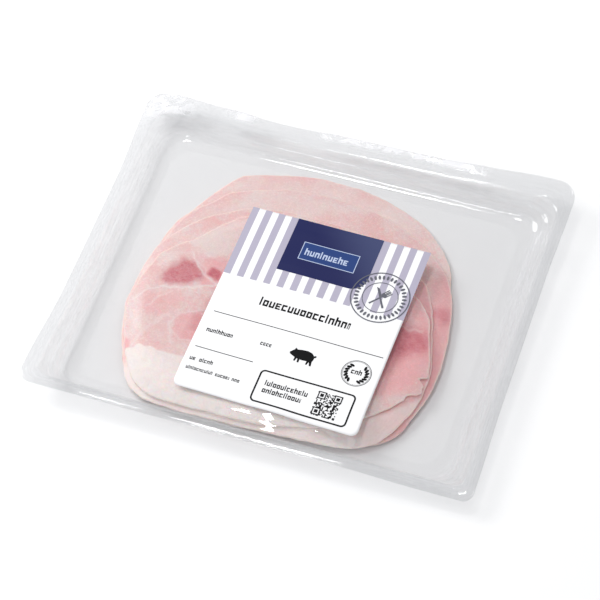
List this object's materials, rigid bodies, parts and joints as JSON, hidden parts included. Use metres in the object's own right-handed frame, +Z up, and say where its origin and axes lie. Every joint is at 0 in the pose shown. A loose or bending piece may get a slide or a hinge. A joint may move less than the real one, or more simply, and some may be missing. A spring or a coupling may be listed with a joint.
{
  "type": "pack of sliced cooked ham",
  "caption": "Sealed clear tray of fanned cooked ham slices under a clear lid film with a striped paper label.",
  "frame": {"origin": "centre of the bounding box at the underside of the tray's floor", "axes": "+Z up, +X along the pack's long side to the right, -Y towards the front edge"},
  "size_m": [0.2, 0.166, 0.0133],
  "materials": {
    "tray_plastic": "clear thermoformed sheet, glossy",
    "cooked_ham": "moist cooked meat, pink with paler fat",
    "film_plastic": "clear lidding film, glossy",
    "label_paper": "coated label paper, printed"
  },
  "bodies": {
    "root": {"tray": "tray_plastic", "ham_slice_1": "cooked_ham", "ham_slice_2": "cooked_ham", "ham_slice_3": "cooked_ham", "ham_slice_4": "cooked_ham", "lid_film": "film_plastic", "label": "label_paper"}
  },
  "joints": []
}
